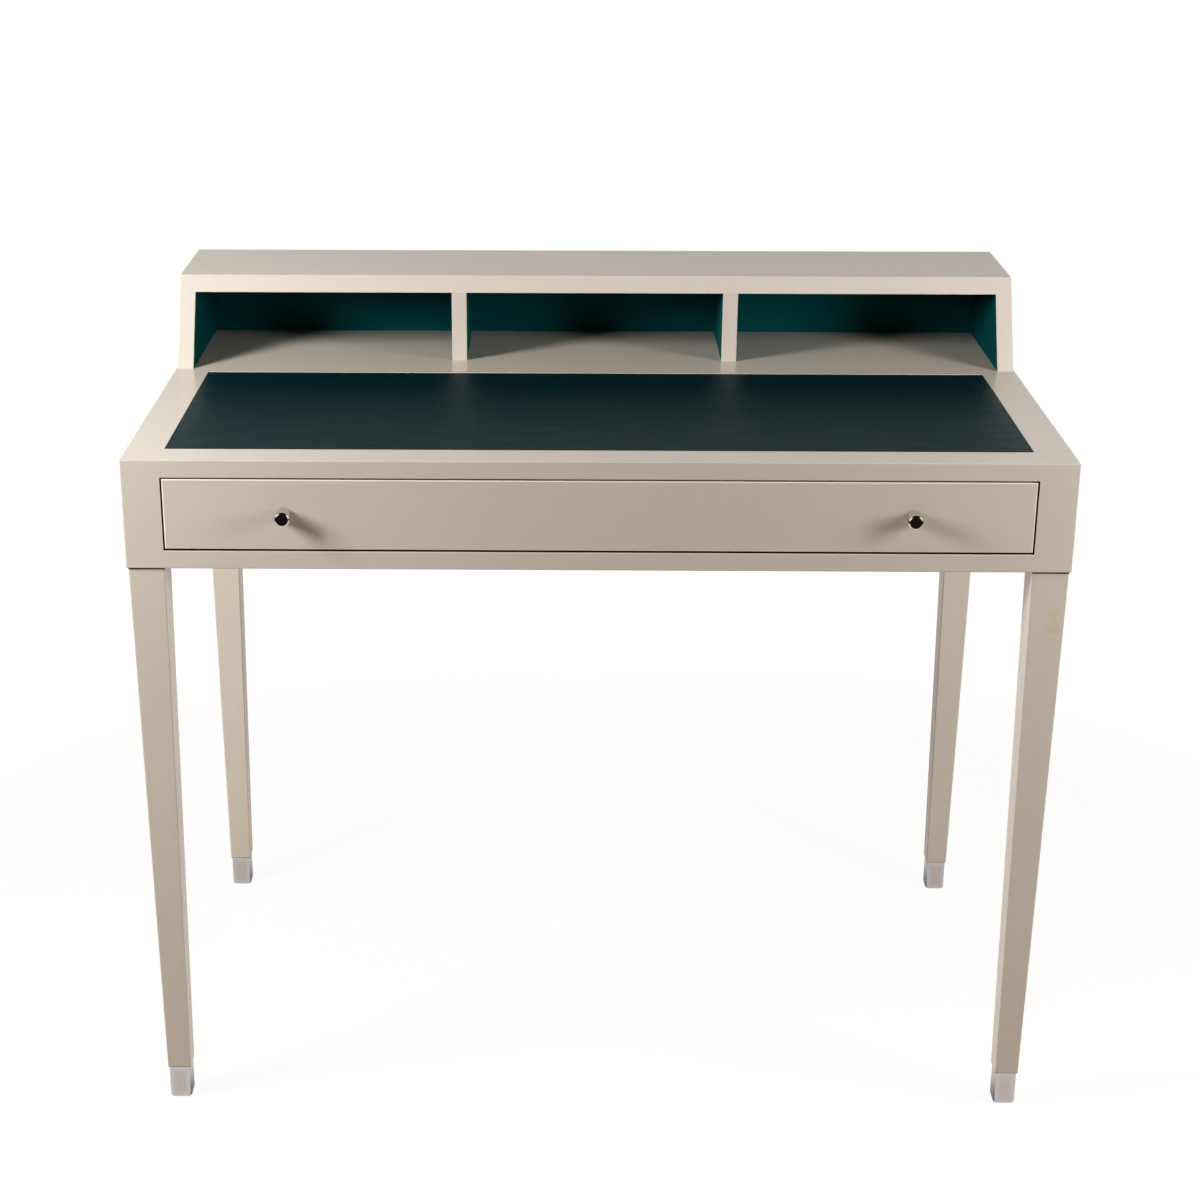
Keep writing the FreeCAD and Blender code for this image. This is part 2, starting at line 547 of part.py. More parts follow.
def ball_rows(side):
    """The rows of balls of one runner, and the strips that space the balls."""
    rows = (
        (MIDDLE_WEB, OUTER_LIP, MIDDLE_HALF_HEIGHT, RUNNER_Y[1] - STRIP_SETBACK - STRIP_LENGTH),
        (INNER_LIP, MIDDLE_LIP, INNER_HALF_HEIGHT, RUNNER_Y[0] + STRIP_SETBACK),
    )
    balls = []
    strips = []
    for near, far, half_height, start in rows:
        x = side * (OPENING_HALF - (near + far) / 2)
        strip_x = runner_x(side, near + STRIP_EDGE_CLEARANCE, far - STRIP_EDGE_CLEARANCE)
        for turn in (-1, 1):
            z = DRAWER_MIDDLE + turn * (half_height + BALL_ROOM / 2)
            strip_z = (z - STRIP_THICKNESS / 2, z + STRIP_THICKNESS / 2)
            strip = block(strip_x, (start, start + STRIP_LENGTH), strip_z)
            places = [Vector(x, start + STRIP_END + k * BALL_PITCH, z) for k in range(BALLS_PER_STRIP)]
            balls += [Part.makeSphere(BALL_DIAMETER / 2, place) for place in places]
            form = (UP, BALL_DIAMETER, 2 * STRIP_THICKNESS, FASTENER_FIT)
            strips.append(carve(strip, [pin(place - UP * STRIP_THICKNESS, *form) for place in places]))
    return balls, strips


def add_runners(parts):
    """Two telescopic ball runners with their screws into the battens and the drawer sides."""
    case_screws = []
    drawer_screws = []
    form = (RUNNER_SCREW_DIAMETER, RUNNER_SCREW_HEAD, RUNNER_SCREW_HEAD_HEIGHT, RUNNER_SCREW_LENGTH)
    members = (
        ("outer", 0.0, (0.0, OUTER_LIP), RUNNER_HEIGHT / 2),
        ("middle", MIDDLE_WEB, (MIDDLE_WEB, MIDDLE_LIP), MIDDLE_HALF_HEIGHT),
        ("inner", INNER_WEB, (INNER_LIP, RUNNER_SPACE), INNER_HALF_HEIGHT),
    )
    for name, side in SIDES.items():
        for member, web, flange, half_height in members:
            parts[f"runner_{member}_{name}"] = channel(side, web, flange, half_height)
        balls, strips = ball_rows(side)
        parts[f"runner_balls_{name}"] = Part.makeCompound(balls)
        parts[f"ball_strips_{name}"] = Part.makeCompound(strips)
        for y in spread(BETWEEN_POSTS[0] + RUNNER_SCREW_MARGIN, RUNNER_Y[1] - RUNNER_SCREW_MARGIN, 3):
            seat = Vector(side * (OPENING_HALF - RUNNER_SHEET), y, DRAWER_MIDDLE)
            case_screws.append((seat, RIGHT * side, *form))
        for y in spread(RUNNER_Y[0] + RUNNER_SCREW_MARGIN, RUNNER_Y[1] - RUNNER_SCREW_MARGIN, 3):
            seat = Vector(side * (OPENING_HALF - INNER_WEB), y, DRAWER_MIDDLE)
            drawer_screws.append((seat, RIGHT * -side, *form))
    outers = ["runner_outer_left", "runner_outer_right", "runner_batten_left", "runner_batten_right"]
    inners = ["runner_inner_left", "runner_inner_right", "drawer_side_left", "drawer_side_right"]
    fasten(parts, "runner_screws_case", pan_head, case_screws, outers)
    fasten(parts, "runner_screws_drawer", pan_head, drawer_screws, inners)


def main():
    parts = {}
    add_case(parts)
    join_case(parts)
    add_legs(parts)
    add_gallery(parts)
    add_drawer(parts)
    add_runners(parts)
    os.makedirs("parts", exist_ok=True)
    for name, shape in parts.items():
        shape.exportStep(f"parts/{name}.step")


main()
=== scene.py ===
import math

import bmesh
import bpy
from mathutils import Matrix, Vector


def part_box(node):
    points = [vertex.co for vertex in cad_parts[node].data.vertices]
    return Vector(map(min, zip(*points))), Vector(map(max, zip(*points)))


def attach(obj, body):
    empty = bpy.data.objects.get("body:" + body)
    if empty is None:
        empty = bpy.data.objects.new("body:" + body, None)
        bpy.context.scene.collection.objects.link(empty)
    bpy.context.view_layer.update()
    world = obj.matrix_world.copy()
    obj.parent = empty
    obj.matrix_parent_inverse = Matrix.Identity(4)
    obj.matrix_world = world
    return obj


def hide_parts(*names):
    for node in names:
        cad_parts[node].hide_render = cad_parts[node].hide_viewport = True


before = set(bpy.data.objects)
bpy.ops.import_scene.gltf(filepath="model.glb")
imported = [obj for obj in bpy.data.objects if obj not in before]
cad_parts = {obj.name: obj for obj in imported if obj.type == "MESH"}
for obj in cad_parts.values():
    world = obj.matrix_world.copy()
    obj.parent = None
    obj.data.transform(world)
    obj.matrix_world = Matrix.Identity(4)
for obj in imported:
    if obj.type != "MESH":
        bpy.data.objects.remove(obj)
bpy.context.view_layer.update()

bl_info = {
    "name": "Writing desk with a gallery",
    "version": (1, 0, 0),
    "blender": (4, 5, 0),
    "location": "View3D > Sidebar > Desk",
    "description": "Lacquer, leather and metal finishes for a small writing desk, and the studio round it",
    "category": "Object",
}

SIDES = ("left", "right")
CORNERS = ("front_left", "front_right", "back_left", "back_right")
CASE_NODES = (
    "desk_top", "case_bottom", "case_back",
    *(f"case_side_{side}" for side in SIDES),
    *(f"corner_post_{corner}" for corner in CORNERS),
)
BEECH_ALONG_X = ("drawer_box_front", "drawer_box_back", "drawer_stops", "case_dowels")
BEECH_ALONG_Y = (
    *(f"drawer_side_{side}" for side in SIDES),
    *(f"runner_batten_{side}" for side in SIDES),
    "drawer_dowels", "gallery_dowels",
)
STEEL_NODES = (
    *(f"runner_{part}_{side}" for part in ("outer", "middle", "inner", "balls") for side in SIDES),
    "case_screws", "batten_screws", "leg_studs", "leg_inserts", "gallery_screws", "drawer_front_screws",
    "knob_screws", "runner_screws_case", "runner_screws_drawer",
)

WHITE = (1.0, 1.0, 1.0)
# The same scale along all three axes.
EVEN = (1.0, 1.0, 1.0)
MIRRORED_ACROSS = (-1.0, 1.0, 1.0)

# Margin, in metres, that puts a face on the side of a mask's limit that it belongs to.
HAIR = 0.00002
# Two places closer than this, in metres, count as one.
TOUCH = 1e-6
# Width, in metres, of the line along an edge.
EDGE = 0.0011
# Heights of the painted shade lines at the top and at the foot of a leg.
LEG_TOP_SHADE = 1.6 * EDGE
LEG_FOOT_SHADE = EDGE / 2
# How many times paler the painted highlights make the edges of the drawer opening and of the drawer front.
OPENING_HIGHLIGHT = 1.25
DRAWER_HIGHLIGHT = 1.35

# Depth and specular level of the matt teal on each kind of gallery board. The depths are painted light and
# shade: each board's teal is made darker or paler for the light that falls on it.
TEAL_PAINTED_LIGHT = {"gallery_side": 0.62, "gallery_top": 1.0, "gallery_back": 1.25, "divider": 0.78}
TEAL_SPECULAR = {"gallery_side": 0.06, "gallery_top": 0.5, "gallery_back": 0.06, "divider": 0.2}

# Smudge on the front right leg, in metres: in from the outer edge, down from the top, full within the
# core and gone past the reach. The squash of the coordinates makes it twice as tall as wide.
SMUDGE_INSET = 0.012
SMUDGE_DROP = 0.062
SMUDGE_CORE = 0.002
SMUDGE_REACH = 0.014
SMUDGE_SQUASH = (1.0, 1.0, 0.5)

# Modelling of the leather, the knobs and the floor.
LEATHER_CUTS = 47
HIDE_WAVE_LENGTH = 0.07
ROUND_SIDES = 96
KNOB_RIM_SHARE = 0.125
SMOOTH_ANGLE = math.radians(35)

# Floor: its drop below the feet and the distances between which it fades to plain white, in metres,
# the white that it glows with near the desk, the share of its paper hidden from the camera, and its
# strength in gloss.
FLOOR_DROP = 0.0005
FLOOR_FADE = (0.9, 1.5)
FLOOR_GLOW = 0.95
FLOOR_HIDDEN = 0.88
FLOOR_IN_GLOSS = 0.5

# Room: steps over the direction of the light that lead onto the wall behind, off its top, up overhead
# and into a soft box, and the strength of the ambient light from low down and from overhead.
WALL_BEHIND = (0.0, 0.5)
WALL_TOP = (0.3, 0.9)
OVERHEAD = (0.1, 0.8)
SOFT_BOX = (0.9, 0.95)
AMBIENT_LOW = 0.5
AMBIENT_OVERHEAD = 1.6

# The point that every lamp looks at, in metres, and the width of the camera's sensor in millimetres.
LAMP_AIM = (0.0, 0.0, 0.7)
SENSOR_WIDTH = 36.0

# Places of a Mix node's sockets when it mixes colours.
MIX_FACTOR = 0
MIX_FIRST = 6
MIX_SECOND = 7
MIX_RESULT = 2


def linear(red, green, blue):
    """Scene colour of a screen colour given in 0 to 255."""
    shares = [channel / 255 for channel in (red, green, blue)]
    return tuple(c / 12.92 if c <= 0.04045 else ((c + 0.055) / 1.055) ** 2.4 for c in shares)


def colour_property(name, description, screen):
    return bpy.props.FloatVectorProperty(
        name=name, description=description, subtype="COLOR", size=3, min=0.0, max=1.0,
        default=linear(*screen))


def length_property(name, description, default):
    return bpy.props.FloatProperty(
        name=name, description=description, default=default, unit="LENGTH", precision=5)


def power_property(name, description, default):
    return bpy.props.FloatProperty(name=name, description=description, default=default, unit="POWER")


def place_property(name, description, default):
    return bpy.props.FloatVectorProperty(
        name=name, description=description, subtype="TRANSLATION", unit="LENGTH", default=default)


class DeskFinishes(bpy.types.PropertyGroup):
    """Colours of the desk's finishes."""
    taupe: colour_property("Taupe lacquer", "Satin lacquer of the case, legs and gallery", (205, 193, 178))
    # Painted shade: dark colour that stands in for the shadow inside the drawer opening and at the legs'
    # joints.
    gap: colour_property("Shadow gap", "Dark stain inside the drawer opening and the joints", (24, 22, 20))
    teal: colour_property("Teal lacquer", "Matt lacquer inside the pigeonholes", (0, 75, 77))
    leather: colour_property("Leather", "Dyed leather of the writing surface", (2, 31, 34))
    nickel: colour_property("Nickel", "Polished nickel of the knobs", (226, 222, 216))
    # Painted reflections: the bright cool borders and the warmer middles of the ferrules' faces.
    ferrule: colour_property("Ferrule", "Bright borders of the satin ferrules", (210, 214, 219))
    ferrule_reflected_middle: colour_property(
        "Ferrule middle", "Warmer middles of the ferrules' faces", (207, 199, 192))
    beech: colour_property("Beech", "Clear-finished beech of the drawer box", (214, 178, 138))
    steel: colour_property("Zinc steel", "Zinc-plated steel of the runners and screws", (190, 192, 196))
    nylon: colour_property("Nylon", "Ball strips of the runners", (226, 224, 214))


class DeskSizes(bpy.types.PropertyGroup):
    """Sizes of the pieces modelled here, beside those that the frame gives."""
    leather_thickness: length_property("Leather", "Thickness of the leather", 0.0014)
    leather_edge: length_property("Leather edge", "Rounding of the leather's cut edge", 0.0005)
    leather_wave: length_property("Leather wave", "Height of the slow waves in the leather", 0.00012)
    knob_bevel_depth: length_property("Knob bevel depth", "Depth of the bevel round a knob's face", 0.0013)
    knob_bevel_width: length_property("Knob bevel width", "Width of the bevel round a knob's face", 0.0015)
    knob_polish: length_property(
        "Knob polish", "Rounding that polishing leaves on a knob's edges", 0.00025)
    ferrule_radius: length_property("Ferrule radius", "Rounding of a ferrule's corners", 0.0042)
    ferrule_wall: length_property("Ferrule wall", "Thickness of a ferrule's walls", 0.0015)
    ferrule_base: length_property("Ferrule base", "Thickness of a ferrule's base", 0.003)


class DeskStudio(bpy.types.PropertyGroup):
    """Camera, lamps and floor of the studio."""
    camera_place: place_property("Camera place", "Where the camera stands", (-0.0377, -2.5178, 1.4732))
    camera_pitch: bpy.props.FloatProperty(
        name="Camera pitch", description="How far the camera looks down", unit="ROTATION",
        default=0.36112)
    camera_yaw: bpy.props.FloatProperty(
        name="Camera yaw", description="How far the camera looks to the left", unit="ROTATION",
        default=0.01457)
    camera_lens: bpy.props.FloatProperty(
        name="Lens", description="Focal length in millimetres on a 36 mm sensor", unit="CAMERA",
        default=67.63)
    camera_shift: bpy.props.FloatProperty(
        name="Shift", description="Sideways shift of the picture, as a share of its width", default=0.0575)
    left_lamp_place: place_property("Left lamp", "Where the brighter lamp stands", (-1.42, -0.70, 1.41))
    left_lamp_power: power_property("Left lamp power", "Power of the brighter lamp", 39.2)
    right_lamp_place: place_property("Right lamp", "Where the weaker lamp stands", (1.38, -0.66, 1.15))
    right_lamp_power: power_property("Right lamp power", "Power of the weaker lamp", 19.2)
    side_lamp_place: place_property(
        "Side lamp", "Where the right one of the low side lamps stands", (1.5, -0.15, 0.45))
    side_lamp_power: power_property("Right side lamp power", "Power of the low lamp on the right", 3.8)
    far_lamp_power: power_property("Left side lamp power", "Power of the low lamp on the left", 1.5)
    back_lamp_place: place_property("Back lamp", "Where the lamp behind the desk stands", (0.0, 2.2, 0.45))
    back_lamp_power: power_property("Back lamp power", "Power of the lamp behind the desk", 22.0)
    front_lamp_place: place_property(
        "Front lamp", "Where the faint low lamp in front stands", (0.0, -2.4, 0.5))
    front_lamp_power: power_property("Front lamp power", "Power of the faint low lamp in front", 1.8)
    front_lamp_colour: colour_property(
        "Front lamp colour", "Warm white of the lamp in front", (255, 234, 214))
    lamp_width: length_property("Lamp width", "Width of every lamp", 0.40)
    tall_lamp_height: length_property("Tall lamp height", "Height of the left and the right lamp", 0.62)
    lamp_colour: colour_property("Lamp colour", "Cool white of the other lamps", (246, 250, 255))
    ambient: colour_property("Ambient", "Dim warm light from all over the room", (80, 73, 61))
    backdrop: colour_property("Backdrop", "Light from the wall behind the desk", (96, 92, 88))
    mirrored_wall: colour_property(
        "Mirrored wall", "Wall behind the desk as gloss shows it", (228, 227, 226))
    mirrored_room: colour_property("Mirrored room", "Dark side of the room as gloss shows it", (28, 24, 21))
    floor_paper: colour_property("Floor paper", "Pale warm paper of the floor", (178, 161, 149))
    floor_radius: length_property("Floor radius", "Radius of the round pale floor", 1.7)


class Value:
    """A socket of a node tree. Arithmetic on it adds Math nodes to that tree."""

    def __init__(self, tree, socket):
        self.tree = tree
        self.socket = socket

    def __add__(self, other):
        return self.tree.math("ADD", self, other)

    def __radd__(self, other):
        return self.tree.math("ADD", other, self)

    def __sub__(self, other):
        return self.tree.math("SUBTRACT", self, other)

    def __rsub__(self, other):
        return self.tree.math("SUBTRACT", other, self)

    def __mul__(self, other):
        return self.tree.math("MULTIPLY", self, other)

    def __rmul__(self, other):
        return self.tree.math("MULTIPLY", other, self)

    def __gt__(self, other):
        return self.tree.math("GREATER_THAN", self, other)

    def __lt__(self, other):
        return self.tree.math("LESS_THAN", self, other)

    def __abs__(self):
        return self.tree.math("ABSOLUTE", self)


class NodeTree:
    """The node tree of a material or a world, written as expressions."""

    def __init__(self, owner):
        owner.use_nodes = True
        self.owner = owner
        self.tree = owner.node_tree
        self.tree.nodes.clear()

    def feed(self, socket, value):
        """Links a socket to a Value, or sets it to a number or a colour."""
        if isinstance(value, Value):
            self.tree.links.new(value.socket, socket)
        elif socket.type == "RGBA" and len(value) == 3:
            socket.default_value = (*value, 1.0)
        else:
            socket.default_value = value

    def node(self, kind, settings=None, inputs=None, output=0):
        """Adds a node, sets it up, feeds its sockets and gives one of its outputs."""
        made = self.tree.nodes.new(kind)
        for name, setting in (settings or {}).items():
            setattr(made, name, setting)
        for name, value in (inputs or {}).items():
            self.feed(made.inputs[name], value)
        return Value(self, made.outputs[output]) if made.outputs else made

    def math(self, operation, *values):
        return self.node("ShaderNodeMath", {"operation": operation}, dict(enumerate(values)))

    def measure(self, operation, *vectors):
        """A number worked out from one or two vectors."""
        return self.node("ShaderNodeVectorMath", {"operation": operation}, dict(enumerate(vectors)), "Value")

    def mix(self, factor, first, second, blend="MIX"):
        """Mixes two colours by a factor."""
        settings = {"data_type": "RGBA", "blend_type": blend}
        inputs = {MIX_FACTOR: factor, MIX_FIRST: first, MIX_SECOND: second}
        return self.node("ShaderNodeMix", settings, inputs, MIX_RESULT)

    def tint(self, colour, factor, low, high):
        """Multiplies a colour by a shade that the factor takes from low to high."""
        return self.mix(1.0, colour, self.mix(factor, low, high), "MULTIPLY")

    def step(self, value, low, high):
        """Smooth step of a value, from 0 at low to 1 at high."""
        settings = {"interpolation_type": "SMOOTHSTEP"}
        return self.node("ShaderNodeMapRange", settings, {"Value": value, "From Min": low, "From Max": high})

    def place(self, scale=EVEN):
        """The piece's own coordinates, in metres, scaled along each axis."""
        here = self.node("ShaderNodeTexCoord", output="Object")
        return self.node("ShaderNodeMapping", None, {"Vector": here, "Scale": scale})

    def axis(self, name):
        """One of the piece's own coordinates."""
        here = self.node("ShaderNodeTexCoord", output="Object")
        return self.node("ShaderNodeSeparateXYZ", None, {0: here}, name)

    def ray(self, *kinds):
        """1 for rays of the kinds named, 0 for others."""
        found = [self.node("ShaderNodeLightPath", output=f"Is {kind} Ray") for kind in kinds]
        total = found[0]
        for other in found[1:]:
            total = self.math("MAXIMUM", total, other)
        return total

    def noise(self, place, scale, detail=2.0, roughness=0.5):
        inputs = {"Vector": place, "Scale": scale, "Detail": detail, "Roughness": roughness}
        return self.node("ShaderNodeTexNoise", None, inputs)

    def bump(self, height, distance, strength):
        inputs = {"Height": height, "Distance": distance, "Strength": strength}
        return self.node("ShaderNodeBump", None, inputs)

    def principled(self, **inputs):
        """A principled shader whose sockets are given in snake case."""
        sockets = {
            name.replace("_", " ").title().replace("Ior", "IOR"): value for name, value in inputs.items()}
        return self.node("ShaderNodeBsdfPrincipled", None, sockets)

    def surface(self, **inputs):
        """Ends the tree in a principled shader."""
        return self.end(self.principled(**inputs))

    def end(self, shader):
        """Ends the tree in a shader and gives the material or the world that it belongs to."""
        is_world = isinstance(self.owner, bpy.types.World)
        kind = "ShaderNodeOutputWorld" if is_world else "ShaderNodeOutputMaterial"
        self.node(kind, None, {"Surface": shader})
        return self.owner


def new_tree(name):
    return NodeTree(bpy.data.materials.new(name))


def grey(level):
    return (level, level, level)


def lacquer_coat(tree, colour):
    """Sprayed lacquer: slow drift of tone, faint mottling and an orange-peel skin."""
    place = tree.place()
    drift = tree.noise(place, scale=3.0)
    mottle = tree.noise(place, scale=60.0, detail=4.0)
    coloured = tree.tint(colour, drift, low=(0.97, 0.97, 0.975), high=(1.03, 1.028, 1.02))
    coloured = tree.tint(coloured, mottle, low=grey(0.985), high=grey(1.015))
    peel = tree.noise(place, scale=420.0)
    return coloured, mottle, tree.bump(peel, distance=0.00005, strength=0.3)


def satin(tree, colour):
    """The satin lacquer in a colour."""
    coloured, mottle, normal = lacquer_coat(tree, colour)
    return tree.principled(base_color=coloured, roughness=0.19 + 0.06 * mottle, normal=normal)


def case_lacquer(finishes):
    """Taupe lacquer, with painted shade dark inside the drawer opening and a painted highlight paler along
    its front edges.
    """
    tree = new_tree("case_lacquer")
    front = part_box("drawer_front")[0].y
    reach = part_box("drawer_front")[1].y
    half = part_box("corner_post_front_right")[0].x + HAIR
    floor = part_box("case_bottom")[1].z - HAIR
    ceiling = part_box("desk_top")[0].z + HAIR
    across = abs(tree.axis("X")) < half
    upright = (tree.axis("Z") > floor) * (tree.axis("Z") < ceiling)
    inward = (tree.axis("Y") > front + EDGE / 2) * (tree.axis("Y") < reach)
    round_opening = across * (tree.axis("Z") > floor - EDGE) * (tree.axis("Z") < ceiling)
    lip = round_opening * (tree.axis("Y") < front + EDGE)
    # Painted highlight along the front lip of the drawer opening.
    colour = tree.tint(tuple(finishes.taupe), lip, low=WHITE, high=grey(OPENING_HIGHLIGHT))
    # Painted shade inside the drawer opening.
    return tree.end(satin(tree, tree.mix(across * upright * inward, colour, tuple(finishes.gap))))


def drawer_lacquer(finishes):
    """Taupe lacquer, with a painted highlight paler along the drawer front's edges."""
    tree = new_tree("drawer_lacquer")
    low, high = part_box("drawer_front")
    across = abs(tree.axis("X")) < high.x - EDGE
    upright = (tree.axis("Z") > low.z + EDGE) * (tree.axis("Z") < high.z - EDGE)
    border = (1.0 - across * upright) * (tree.axis("Y") < low.y + EDGE)
    # Painted highlight along the drawer front's edges.
    colour = tree.tint(tuple(finishes.taupe), border, low=WHITE, high=grey(DRAWER_HIGHLIGHT))
    return tree.end(satin(tree, colour))


def leg_lacquer(finishes):
    """Taupe lacquer over the legs' lengthwise grain, slightly yellowed, with painted shade lines at the
    joints, smudged once.
    """
    tree = new_tree("leg_lacquer")
    above = tree.axis("Z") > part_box("leg_front_left")[1].z - LEG_TOP_SHADE
    below = tree.axis("Z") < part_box("ferrule_front_left")[1].z + LEG_FOOT_SHADE
    # Painted shade lines where the legs meet the case and the ferrules.
    colour = tree.mix(above + below, tuple(finishes.taupe), tuple(finishes.gap))
    coloured, mottle, normal = lacquer_coat(tree, colour)
    grain = tree.noise(tree.place((160.0, 160.0, 3.0)), scale=1.0, detail=3.0)
    coloured = tree.tint(coloured, grain, low=grey(0.98), high=grey(1.02))
    blotches = tree.noise(tree.place((9.0, 9.0, 4.0)), scale=1.0, detail=3.0)
    stain = tree.step(blotches, low=0.55, high=0.75)
    coloured = tree.tint(coloured, stain, low=WHITE, high=(0.99, 0.965, 0.92))
    low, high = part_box("leg_front_right")
    touched = Vector((high.x - SMUDGE_INSET, low.y, high.z - SMUDGE_DROP)) * Vector(SMUDGE_SQUASH)
    reach = tree.measure("DISTANCE", tree.place(SMUDGE_SQUASH), touched)
    worn = tree.step(tree.noise(tree.place(), scale=110.0), low=0.38, high=0.62)
    smudge = worn * (1.0 - tree.step(reach, SMUDGE_CORE, SMUDGE_REACH))
    coloured = tree.tint(coloured, smudge, low=WHITE, high=(0.98, 0.91, 0.72))
    return tree.surface(base_color=coloured, roughness=0.26 + 0.08 * mottle, normal=normal)


def two_tone_lacquer(finishes, board, inside):
    """Satin taupe lacquer on a gallery board, and matt teal where the mask from its coordinates is 1."""
    tree = new_tree(f"{board}_lacquer")
    taupe = satin(tree, tuple(finishes.taupe))
    # The teal's depth for this board is painted light and shade.
    shade = tuple(TEAL_PAINTED_LIGHT[board] * channel for channel in finishes.teal)
    coloured, mottle, normal = lacquer_coat(tree, shade)
    teal = tree.principled(
        base_color=coloured, roughness=0.64 + 0.06 * mottle, normal=normal,
        specular_ior_level=TEAL_SPECULAR[board])
    return tree.end(tree.node("ShaderNodeMixShader", None, {0: inside(tree), 1: taupe, 2: teal}))


def metal(name, colour, roughness, spread, grain=EVEN):
    """Metal with a faint smear of tone and fine polishing marks."""
    tree = new_tree(name)
    smear = tree.noise(tree.place(), scale=90.0, detail=3.0)
    marks = tree.noise(tree.place(grain), scale=500.0)
    coloured = tree.tint(colour, smear, low=grey(0.96), high=grey(1.03))
    return tree.surface(base_color=coloured, metallic=1.0, roughness=roughness + spread * marks)


def satin_nickel(finishes):
    """Satin nickel with painted reflections: brighter and cooler near the edges of each face, warmer in the
    middles, and darker low on the inner faces.
    """
    tree = new_tree("satin_nickel")
    low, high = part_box("ferrule_front_right")
    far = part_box("ferrule_back_right")[1].y
    middle = (low + high) / 2
    half = (high - low) / 2
    span = (far - low.y) / 2
    outward = abs(tree.axis("X")) - middle.x
    endward = abs(tree.axis("Y") - (far + low.y) / 2) - (span - half.y)
    aside = tree.math("MINIMUM", abs(outward), abs(endward))
    upright = abs(tree.axis("Z") - middle.z)
    border = tree.math(
        "MAXIMUM",
        tree.step(aside, low=0.3 * half.x, high=0.85 * half.x),
        tree.step(upright, low=0.45 * half.z, high=0.9 * half.z))
    smear = tree.noise(tree.place(), scale=120.0, detail=3.0)
    brushed = tree.noise(tree.place((1.0, 1.0, 0.06)), scale=900.0)
    # Painted reflection: bright cool borders and warmer middles on each face.
    coloured = tree.mix(border, tuple(finishes.ferrule_reflected_middle), tuple(finishes.ferrule))
    coloured = tree.tint(coloured, smear, low=grey(0.94), high=grey(1.05))
    # Painted reflection of the shaded floor: the inner faces darken towards the bottom.
    inner = tree.step(-1.0 * outward, low=0.8 * half.x, high=0.97 * half.x)
    painted_floor_reflection = inner * (1.0 - tree.step(tree.axis("Z"), low=0.1 * high.z, high=0.9 * high.z))
    coloured = tree.tint(coloured, painted_floor_reflection, low=WHITE, high=(0.22, 0.21, 0.24))
    return tree.surface(base_color=coloured, metallic=1.0, roughness=0.22 + 0.1 * brushed)


def leather(finishes):
    """Dyed leather with long fine creases across the desk and a close pebble."""
    tree = new_tree("leather")
    creases = tree.noise(tree.place((24.0, 300.0, 24.0)), scale=1.0, detail=3.0, roughness=0.6)
    cloud = tree.noise(tree.place(), scale=14.0, detail=3.0)
    pebble = tree.node("ShaderNodeTexVoronoi", None, {"Vector": tree.place(), "Scale": 900.0})
    coloured = tree.tint(tuple(finishes.leather), creases, low=grey(0.3), high=grey(1.7))
    coloured = tree.tint(coloured, cloud, low=grey(0.9), high=grey(1.1))
    skin = tree.bump(creases + 0.35 * pebble, distance=0.0002, strength=0.7)
    return tree.surface(
        base_color=coloured, roughness=0.3 + 0.34 * creases, normal=skin,
        specular_ior_level=0.085, specular_tint=(0.3, 0.95, 1.0, 1.0))


def beech(finishes, name, scale):
    """Clear-finished beech with soft growth bands, short dark flecks and fine pores along the grain."""
    tree = new_tree(name)
    bands = tree.noise(tree.place(scale), scale=0.35, detail=3.0)
    flecks = tree.step(tree.noise(tree.place(scale), scale=3.2), low=0.6, high=0.72)
    pores = tree.noise(tree.place(scale), scale=9.0)
    coloured = tree.tint(tuple(finishes.beech), bands, low=(0.88, 0.84, 0.8), high=grey(1.06))
    coloured = tree.tint(coloured, flecks, low=WHITE, high=(0.8, 0.7, 0.6))
    coloured = tree.tint(coloured, pores, low=grey(0.96), high=grey(1.03))
    skin = tree.bump(pores, distance=0.00005, strength=0.3)
    return tree.surface(base_color=coloured, roughness=0.42 + 0.12 * pores, normal=skin)


def nylon(finishes):
    """Pale nylon with fine specks."""
    tree = new_tree("nylon")
    speck = tree.noise(tree.place(), scale=800.0)
    coloured = tree.tint(tuple(finishes.nylon), speck, low=grey(0.94), high=grey(1.0))
    return tree.surface(base_color=coloured, roughness=0.4 + 0.1 * speck)


def paint(material, *names):
    """Gives frame nodes one finish."""
    for name in names:
        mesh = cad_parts[name].data
        mesh.materials.clear()
        mesh.materials.append(material)


def start_piece(name, add, scale, place, **settings):
    """Adds a primitive at its size and place, with nothing else selected, and opens it in edit mode."""
    bpy.ops.object.select_all(action="DESELECT")
    add(location=place, **settings)
    piece = bpy.context.active_object
    piece.name = name
    piece.data.name = name
    piece.scale = scale
    bpy.ops.object.transform_apply(location=True, rotation=True, scale=True)
    bpy.ops.object.mode_set(mode="EDIT")
    bpy.ops.mesh.select_all(action="DESELECT")
    return piece


def select(piece, kind, chosen):
    """Selects the edges or faces of the open piece whose middle and element pass the test."""
    bpy.ops.mesh.select_mode(type=kind)
    bpy.ops.mesh.select_all(action="DESELECT")
    mesh = bmesh.from_edit_mesh(piece.data)
    elements = mesh.edges if kind == "EDGE" else mesh.faces
    for element in elements:
        corners = [vertex.co for vertex in element.verts]
        middle = sum(corners, Vector()) / len(corners)
        element.select_set(bool(chosen(middle, element)))
    bmesh.update_edit_mesh(piece.data)


def extrude(x, y, z):
    """Extrudes what is selected by a shift."""
    bpy.ops.mesh.extrude_region_move(TRANSFORM_OT_translate={"value": (x, y, z)})


def close_piece():
    """Turns all faces of the open piece outwards, leaves edit mode and smooths the rounded faces."""
    bpy.ops.mesh.select_all(action="SELECT")
    bpy.ops.mesh.normals_make_consistent(inside=False)
    bpy.ops.object.mode_set(mode="OBJECT")
    bpy.ops.object.shade_smooth_by_angle(angle=SMOOTH_ANGLE)


